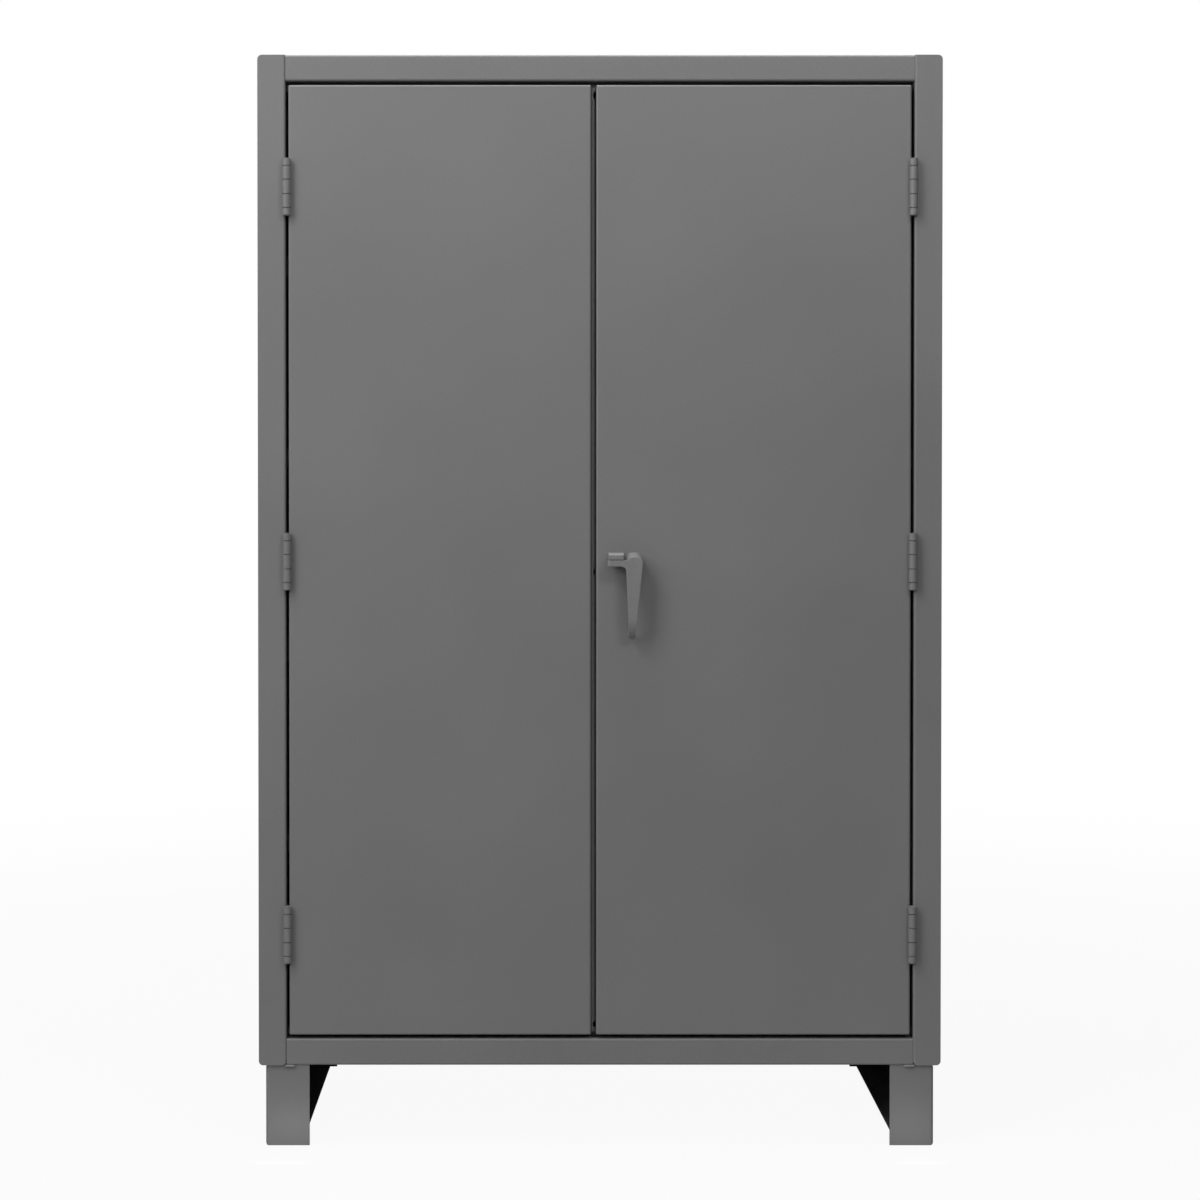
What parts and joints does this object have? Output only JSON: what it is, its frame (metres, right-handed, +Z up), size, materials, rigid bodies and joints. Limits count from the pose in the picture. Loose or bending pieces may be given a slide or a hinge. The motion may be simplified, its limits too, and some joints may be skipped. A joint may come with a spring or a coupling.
{
  "type": "two-door steel tool cabinet",
  "caption": "Welded sheet steel tool cabinet on leg bases, with hinged double doors, a padlockable turn handle that draws two lock rods, and adjustable shelves inside.",
  "frame": {"origin": "on the floor under the middle of the body, at the centre of the four floor anchor holes", "axes": "+Z up, -Y out of the doors, +X to the right as seen from the front"},
  "size_m": [1.23, 0.648, 1.965],
  "materials": {
    "grey_paint": "powder coat, satin",
    "cast_grey": "painted casting, satin",
    "zinc_plate": "zinc plated",
    "black_steel": "blackened, oiled"
  },
  "bodies": {
    "cabinet": {"left_side_panel": "grey_paint", "right_side_panel": "grey_paint", "back_panel": "grey_paint", "top_panel": "grey_paint", "floor_panel": "grey_paint", "left_front_post": "grey_paint", "right_front_post": "grey_paint", "top_front_rail": "grey_paint", "bottom_front_rail": "grey_paint", "left_leg_base": "grey_paint", "right_leg_base": "grey_paint", "left_front_upright": "grey_paint", "left_rear_upright": "grey_paint", "right_front_upright": "grey_paint", "right_rear_upright": "grey_paint", "shelf_1": "grey_paint", "shelf_2": "grey_paint", "shelf_3": "grey_paint", "shelf_4": "grey_paint", "shelf_clips": "zinc_plate", "top_strike": "zinc_plate", "bottom_strike": "zinc_plate", "top_stop_strip": "grey_paint", "bottom_stop_strip": "grey_paint", "left_upper_frame_leaf": "grey_paint", "left_middle_frame_leaf": "grey_paint", "left_lower_frame_leaf": "grey_paint", "right_upper_frame_leaf": "grey_paint", "right_middle_frame_leaf": "grey_paint", "right_lower_frame_leaf": "grey_paint", "left_hinge_pins": "grey_paint", "right_hinge_pins": "grey_paint"},
    "left_door": {"left_door_panel": "grey_paint", "left_door_stiffener": "grey_paint", "meeting_strip": "grey_paint", "left_upper_door_leaf": "grey_paint", "left_middle_door_leaf": "grey_paint", "left_lower_door_leaf": "grey_paint"},
    "right_door": {"right_door_panel": "grey_paint", "right_door_stiffener": "grey_paint", "right_upper_door_leaf": "grey_paint", "right_middle_door_leaf": "grey_paint", "right_lower_door_leaf": "grey_paint", "padlock_lug": "cast_grey", "handle_bushing": "zinc_plate", "bushing_nut": "zinc_plate", "upper_rod_guide": "zinc_plate", "lower_rod_guide": "zinc_plate"},
    "handle": {"door_handle": "cast_grey", "handle_shaft": "zinc_plate", "latch_cam": "zinc_plate", "upper_cam_pin": "zinc_plate", "lower_cam_pin": "zinc_plate", "cam_nut": "zinc_plate"},
    "upper_rod": {"upper_lock_rod": "black_steel"},
    "lower_rod": {"lower_lock_rod": "black_steel"}
  },
  "joints": [
    {"name": "left_door", "type": "hinge", "parent": "cabinet", "child": "left_door", "pos_m": [-0.5623, -0.3125, 1.0555], "axis": [0, 0, -1], "range_deg": [0, 180]},
    {"name": "right_door", "type": "hinge", "parent": "cabinet", "child": "right_door", "pos_m": [0.5623, -0.3125, 1.0555], "axis": [0, 0, 1], "range_deg": [0, 180]},
    {"name": "handle_turn", "type": "hinge", "parent": "right_door", "child": "handle", "pos_m": [0.06115, -0.305, 1.0565], "axis": [0, -1, 0], "range_deg": [0, 90]},
    {"name": "upper_rod_slide", "type": "slide", "parent": "right_door", "child": "upper_rod", "axis": [0, 0, -1], "range_m": [0, 0.0396]},
    {"name": "lower_rod_slide", "type": "slide", "parent": "right_door", "child": "lower_rod", "axis": [0, 0, 1], "range_m": [0, 0.0396]}
  ],
  "couplings": [
    {"joint": "upper_rod_slide", "follows": "handle_turn", "m_per_rad": 0.0252},
    {"joint": "lower_rod_slide", "follows": "handle_turn", "m_per_rad": 0.0252}
  ]
}
